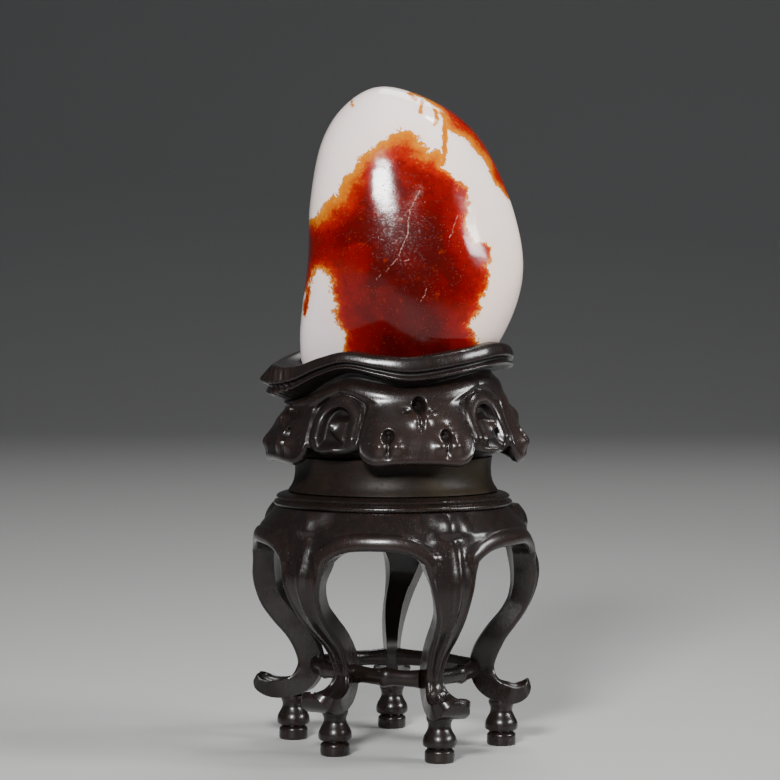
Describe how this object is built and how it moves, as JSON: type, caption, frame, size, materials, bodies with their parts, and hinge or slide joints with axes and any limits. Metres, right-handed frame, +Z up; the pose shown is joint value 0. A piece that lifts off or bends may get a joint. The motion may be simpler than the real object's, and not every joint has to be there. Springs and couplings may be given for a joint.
{
  "type": "jade pebble on carved stand",
  "caption": "White nephrite pebble with a russet skin, standing upright in the fitted socket of a round carved dark hardwood stand with curved legs.",
  "frame": {"origin": "middle of the footprint's bounding box, on the surface that the stand rests on", "axes": "+Z up from the feet to the top of the pebble, -Y towards the front that the picture shows, +X to its right"},
  "size_m": [0.0602, 0.0602, 0.1319],
  "materials": {
    "jade": "polished white nephrite, slightly translucent, with a patch of orange to deep red skin",
    "dark_hardwood": "near-black fine-pored hardwood with a waxed, half-gloss polish"
  },
  "bodies": {
    "root": {"jade_pebble": "jade", "carved_seat": "dark_hardwood", "waist": "dark_hardwood", "top_board": "dark_hardwood", "leg_1": "dark_hardwood", "leg_2": "dark_hardwood", "leg_3": "dark_hardwood", "leg_4": "dark_hardwood", "leg_5": "dark_hardwood", "apron_1": "dark_hardwood", "apron_2": "dark_hardwood", "apron_3": "dark_hardwood", "apron_4": "dark_hardwood", "apron_5": "dark_hardwood", "stretcher_1": "dark_hardwood", "stretcher_2": "dark_hardwood", "stretcher_3": "dark_hardwood", "stretcher_4": "dark_hardwood", "stretcher_5": "dark_hardwood", "foot_1": "dark_hardwood", "foot_2": "dark_hardwood", "foot_3": "dark_hardwood", "foot_4": "dark_hardwood", "foot_5": "dark_hardwood"}
  },
  "joints": []
}
